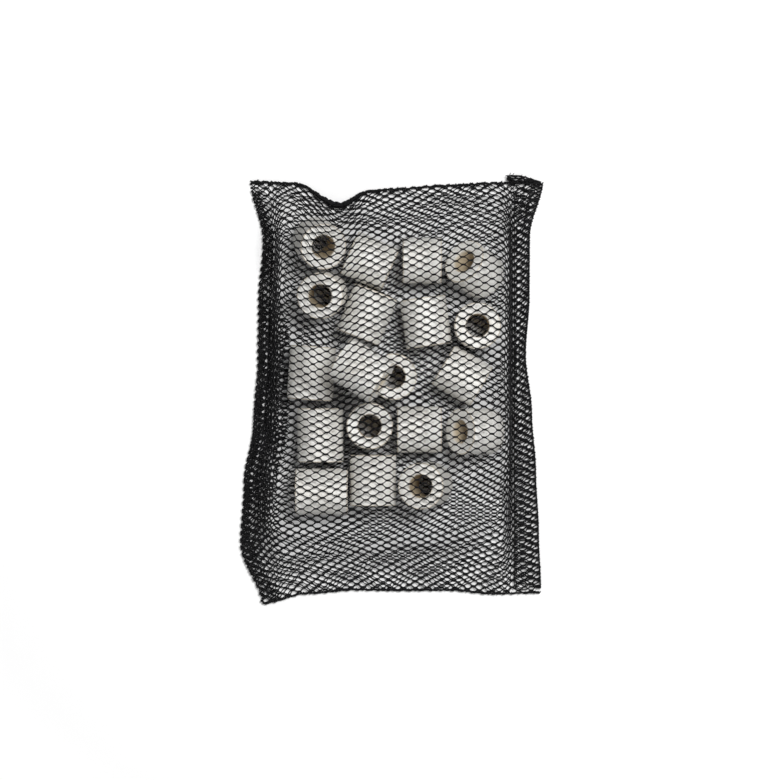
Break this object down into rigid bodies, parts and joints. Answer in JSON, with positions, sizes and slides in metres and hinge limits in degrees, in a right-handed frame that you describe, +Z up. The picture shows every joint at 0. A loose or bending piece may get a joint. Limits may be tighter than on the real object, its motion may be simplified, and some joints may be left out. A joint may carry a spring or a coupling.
{
  "type": "filter media bag",
  "caption": "Black knitted net bag sewn shut round a layer of loose ceramic filter rings, laid flat in a pond or aquarium filter as a porous bed for water to run through.",
  "frame": {"origin": "centre of the bag's footprint, on the ground it lies on", "axes": "+X across the bag towards its sewn side seam, +Y along the bag towards its mouth, +Z up out of its back panel"},
  "size_m": [0.0976, 0.1386, 0.035],
  "materials": {
    "net": "matte knitted polyester net",
    "thread": "matte sewing thread",
    "ceramic": "rough unglazed porous ceramic"
  },
  "bodies": {
    "bag": {"back_net": "net", "front_crown_net": "net", "front_left_net": "net", "front_right_net": "net", "front_bottom_net": "net", "front_mouth_net": "net", "seam_allowance_band": "net", "mouth_hem": "net", "left_fold": "net", "bottom_edging": "net", "side_seam_stitches": "thread", "mouth_stitches": "thread", "fold_stitches": "thread", "seam_tail": "net"},
    "ring_01": {"ring_01": "ceramic"},
    "ring_02": {"ring_02": "ceramic"},
    "ring_03": {"ring_03": "ceramic"},
    "ring_04": {"ring_04": "ceramic"},
    "ring_05": {"ring_05": "ceramic"},
    "ring_06": {"ring_06": "ceramic"},
    "ring_07": {"ring_07": "ceramic"},
    "ring_08": {"ring_08": "ceramic"},
    "ring_09": {"ring_09": "ceramic"},
    "ring_10": {"ring_10": "ceramic"},
    "ring_11": {"ring_11": "ceramic"},
    "ring_12": {"ring_12": "ceramic"},
    "ring_13": {"ring_13": "ceramic"},
    "ring_14": {"ring_14": "ceramic"},
    "ring_15": {"ring_15": "ceramic"},
    "ring_16": {"ring_16": "ceramic"},
    "ring_17": {"ring_17": "ceramic"},
    "ring_18": {"ring_18": "ceramic"},
    "ring_19": {"ring_19": "ceramic"}
  },
  "joints": [
    {"name": "ring_01_turn", "type": "hinge", "parent": "bag", "child": "ring_01", "pos_m": [-0.02306, 0.04645, 0.01032], "axis": [0.1949, -0.1949, 0.9613], "continuous": true},
    {"name": "ring_02_turn", "type": "hinge", "parent": "bag", "child": "ring_02", "pos_m": [-0.00695, 0.04074, 0.0083], "axis": [0.9135, -0.4067, 0], "continuous": true},
    {"name": "ring_03_turn", "type": "hinge", "parent": "bag", "child": "ring_03", "pos_m": [0.00965, 0.04099, 0.0083], "axis": [1, 0, 0], "continuous": true},
    {"name": "ring_04_turn", "type": "hinge", "parent": "bag", "child": "ring_04", "pos_m": [0.02638, 0.03809, 0.01088], "axis": [-0.5792, 0.4056, 0.7071], "continuous": true},
    {"name": "ring_05_turn", "type": "hinge", "parent": "bag", "child": "ring_05", "pos_m": [-0.02202, 0.03009, 0.0099], "axis": [-0.0862, -0.0862, 0.9925], "continuous": true},
    {"name": "ring_06_turn", "type": "hinge", "parent": "bag", "child": "ring_06", "pos_m": [-0.00796, 0.02368, 0.0083], "axis": [0.3746, 0.9272, 0], "continuous": true},
    {"name": "ring_07_turn", "type": "hinge", "parent": "bag", "child": "ring_07", "pos_m": [0.01089, 0.02136, 0.0083], "axis": [-0.1392, 0.9903, 0], "continuous": true},
    {"name": "ring_08_turn", "type": "hinge", "parent": "bag", "child": "ring_08", "pos_m": [0.02718, 0.02009, 0.00905], "axis": [0, 0, 1], "continuous": true},
    {"name": "ring_09_turn", "type": "hinge", "parent": "bag", "child": "ring_09", "pos_m": [-0.02562, 0.00509, 0.0083], "axis": [0.0698, 0.9976, 0], "continuous": true},
    {"name": "ring_10_turn", "type": "hinge", "parent": "bag", "child": "ring_10", "pos_m": [-0.00952, 0.00579, 0.02488], "axis": [0.8398, -0.5248, 0.1392], "continuous": true},
    {"name": "ring_11_turn", "type": "hinge", "parent": "bag", "child": "ring_11", "pos_m": [0.00058, 0.00389, 0.00905], "axis": [0, 0, 1], "continuous": true},
    {"name": "ring_12_turn", "type": "hinge", "parent": "bag", "child": "ring_12", "pos_m": [0.02249, 0.00432, 0.0083], "axis": [0.8572, -0.515, 0], "continuous": true},
    {"name": "ring_13_turn", "type": "hinge", "parent": "bag", "child": "ring_13", "pos_m": [-0.02282, -0.01471, 0.0083], "axis": [0, 1, 0], "continuous": true},
    {"name": "ring_14_turn", "type": "hinge", "parent": "bag", "child": "ring_14", "pos_m": [-0.00702, -0.01171, 0.00905], "axis": [0, 0, 1], "continuous": true},
    {"name": "ring_15_turn", "type": "hinge", "parent": "bag", "child": "ring_15", "pos_m": [0.00878, -0.01291, 0.0083], "axis": [1, 0, 0], "continuous": true},
    {"name": "ring_16_turn", "type": "hinge", "parent": "bag", "child": "ring_16", "pos_m": [0.02647, -0.01351, 0.01087], "axis": [-0.788, 0, 0.6157], "continuous": true},
    {"name": "ring_17_turn", "type": "hinge", "parent": "bag", "child": "ring_17", "pos_m": [-0.02242, -0.03271, 0.0083], "axis": [1, 0, 0], "continuous": true},
    {"name": "ring_18_turn", "type": "hinge", "parent": "bag", "child": "ring_18", "pos_m": [-0.00602, -0.02911, 0.0083], "axis": [0, 1, 0], "continuous": true},
    {"name": "ring_19_turn", "type": "hinge", "parent": "bag", "child": "ring_19", "pos_m": [0.01078, -0.03071, 0.01043], "axis": [-0.2079, 0, 0.9781], "continuous": true}
  ]
}
